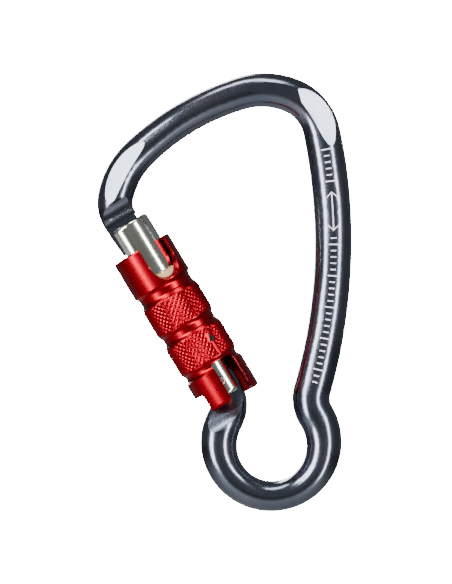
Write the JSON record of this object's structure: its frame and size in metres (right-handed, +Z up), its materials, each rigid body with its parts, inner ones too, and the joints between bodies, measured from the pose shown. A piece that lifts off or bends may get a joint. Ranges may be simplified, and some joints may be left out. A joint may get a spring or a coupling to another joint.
{
  "type": "locking carabiner",
  "caption": "Pear-shaped metal carabiner with a captive lower eye, an inward-swinging barrel gate and a knurled locking sleeve that lifts and twists.",
  "frame": {"origin": "where a rope or sling rests on the inner side of the body's wide top, in the body's mid-plane, straight above the captive eye", "axes": "+Z up the load line from the captive eye to the rope seat, +X away from the gate towards the spine, front face towards -Y"},
  "size_m": [0.0778, 0.019, 0.1326],
  "materials": {
    "body_alloy": "polished dark blue-grey anodised",
    "gate_alloy": "polished silver",
    "sleeve_red": "glossy red anodised, diamond-knurled bands",
    "ring_plastic": "smooth beige",
    "bush_plastic": "smooth black",
    "steel": "turned",
    "spring_steel": "drawn wire"
  },
  "bodies": {
    "frame": {"frame_body": "body_alloy"},
    "gate": {"gate_barrel": "gate_alloy", "hinge_rivet": "steel", "gate_spring": "spring_steel", "guide_ring": "ring_plastic", "track_pin": "steel", "sleeve_spring": "spring_steel"},
    "plunger": {"gate_plunger": "steel"},
    "collar": {"lift_bush": "bush_plastic", "spring_washer": "steel"},
    "sleeve": {"sleeve": "sleeve_red", "retaining_ring": "spring_steel"}
  },
  "joints": [
    {"name": "gate_hinge", "type": "hinge", "parent": "frame", "child": "gate", "pos_m": [-0.01687, 0, -0.08193], "axis": [0, 1, 0], "range_deg": [0, 25], "stiffness_Nm_per_rad": 0.25, "springref_deg": -20.05},
    {"name": "plunger_slide", "type": "slide", "parent": "gate", "child": "plunger", "axis": [-0.5592, 0, 0.829], "range_m": [0, 0.0006], "deforming": ["gate_spring"]},
    {"name": "sleeve_lift", "type": "slide", "parent": "gate", "child": "collar", "axis": [-0.5592, 0, 0.829], "range_m": [0, 0.003], "stiffness_N_per_m": 700, "springref_m": -0.006, "deforming": ["sleeve_spring"]},
    {"name": "sleeve_twist", "type": "hinge", "parent": "collar", "child": "sleeve", "pos_m": [-0.01687, 0, -0.08193], "axis": [-0.5592, 0, 0.829], "range_deg": [0, 64]}
  ],
  "couplings": [
    {"joint": "sleeve_twist", "follows": "gate_hinge", "ratio": 2.56},
    {"joint": "plunger_slide", "follows": "gate_hinge", "m_per_rad": 0.0013}
  ]
}
